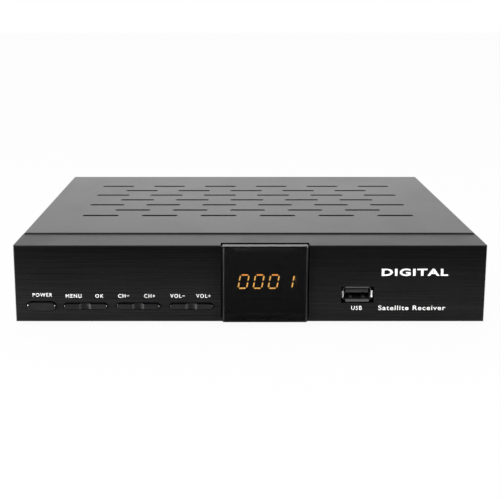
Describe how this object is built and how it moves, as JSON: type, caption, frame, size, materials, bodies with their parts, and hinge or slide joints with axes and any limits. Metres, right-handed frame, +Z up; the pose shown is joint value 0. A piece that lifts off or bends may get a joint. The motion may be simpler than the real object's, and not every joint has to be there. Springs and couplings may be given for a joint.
{
  "type": "satellite tv receiver",
  "caption": "Flat satellite television receiver: slotted steel cover on a tray, moulded front with raised display window, power key, rocker keys, data socket and rear sockets.",
  "frame": {"origin": "middle of the whole object's outline, on the plane that the feet stand on", "axes": "+X to the right along the front, +Y from the front to the rear, +Z up"},
  "size_m": [0.2234, 0.1678, 0.0406],
  "materials": {
    "cover_paint": "satin black powder coat with a fine grain",
    "front_plastic": "black moulding with a fine horizontal brushed grain under a gloss coat",
    "smoked_window": "polished smoked acrylic",
    "key_plastic": "black, semi-gloss",
    "plated_steel": "zinc plated sheet, satin",
    "foot_rubber": "matt black",
    "black_screw": "black oxide",
    "zinc_screw": "zinc plated",
    "circuit_board": "green solder resist",
    "black_component": "moulded, fine grain",
    "sensor_plastic": "dark infrared filter",
    "grey_insulator": "moulded",
    "white_insulator": "moulded",
    "contact_gold": "gold flash",
    "nickel": "nickel plated, bright",
    "aluminium": "extruded, natural",
    "capacitor_sleeve": "dark shrink sleeve with a bare top",
    "tin_plate": "bright tin plate",
    "phono_red": "moulded",
    "phono_white": "moulded",
    "phono_orange": "moulded",
    "phono_yellow": "moulded",
    "ribbon_grey": "ribbed flat cable"
  },
  "bodies": {
    "receiver": {"top_cover": "cover_paint", "front_bezel": "front_plastic", "display_window": "smoked_window", "chassis_tray": "plated_steel", "rubber_feet": "foot_rubber", "cover_screws": "black_screw", "front_board": "circuit_board", "main_board": "circuit_board", "front_board_screws": "zinc_screw", "main_board_screws": "zinc_screw", "switch_bodies": "black_component", "rocker_plungers": "black_component", "display_module": "black_component", "infrared_sensor": "sensor_plastic", "usb_shell": "nickel", "usb_tongue": "grey_insulator", "usb_contacts": "contact_gold", "processor": "black_component", "memory_chip": "black_component", "heat_sink": "aluminium", "crystal": "nickel", "capacitors": "capacitor_sleeve", "tuner_can": "tin_plate", "tuner_cover": "tin_plate", "lnb_connector": "nickel", "loop_connector": "nickel", "connector_cores": "white_insulator", "connector_nuts": "nickel", "phono_housing": "black_component", "phono_barrels": "nickel", "phono_insert_red": "phono_red", "phono_insert_white": "phono_white", "phono_insert_orange": "phono_orange", "phono_insert_yellow": "phono_yellow", "video_socket_shell": "nickel", "video_socket_tongue": "black_component", "scart_socket": "black_component", "supply_socket": "black_component", "supply_pin": "nickel", "ribbon_cable": "ribbon_grey", "ribbon_plugs": "white_insulator"},
    "power_key": {"power_button": "key_plastic"},
    "power_switch_plunger": {"power_plunger": "black_component"},
    "menu_key": {"menu_rocker": "key_plastic"},
    "channel_key": {"channel_rocker": "key_plastic"},
    "volume_key": {"volume_rocker": "key_plastic"}
  },
  "joints": [
    {"name": "power_key_slide", "type": "slide", "parent": "receiver", "child": "power_key", "axis": [0, 1, 0], "range_m": [0, 0.0003], "stiffness_N_per_m": 600, "springref_m": -0.0003},
    {"name": "power_plunger_slide", "type": "slide", "parent": "receiver", "child": "power_switch_plunger", "axis": [0, 1, 0], "range_m": [0, 0.0003]},
    {"name": "menu_key_rock", "type": "hinge", "parent": "receiver", "child": "menu_key", "pos_m": [-0.0771, -0.07875, 0.0106], "axis": [0, 0, 1], "range_deg": [-2.5, 2.5], "stiffness_Nm_per_rad": 0.1},
    {"name": "channel_key_rock", "type": "hinge", "parent": "receiver", "child": "channel_key", "pos_m": [-0.0523, -0.07875, 0.0106], "axis": [0, 0, 1], "range_deg": [-2.5, 2.5], "stiffness_Nm_per_rad": 0.1},
    {"name": "volume_key_rock", "type": "hinge", "parent": "receiver", "child": "volume_key", "pos_m": [-0.0275, -0.07875, 0.0106], "axis": [0, 0, 1], "range_deg": [-2.5, 2.5], "stiffness_Nm_per_rad": 0.1}
  ],
  "couplings": [
    {"joint": "power_plunger_slide", "follows": "power_key_slide", "ratio": 1}
  ]
}
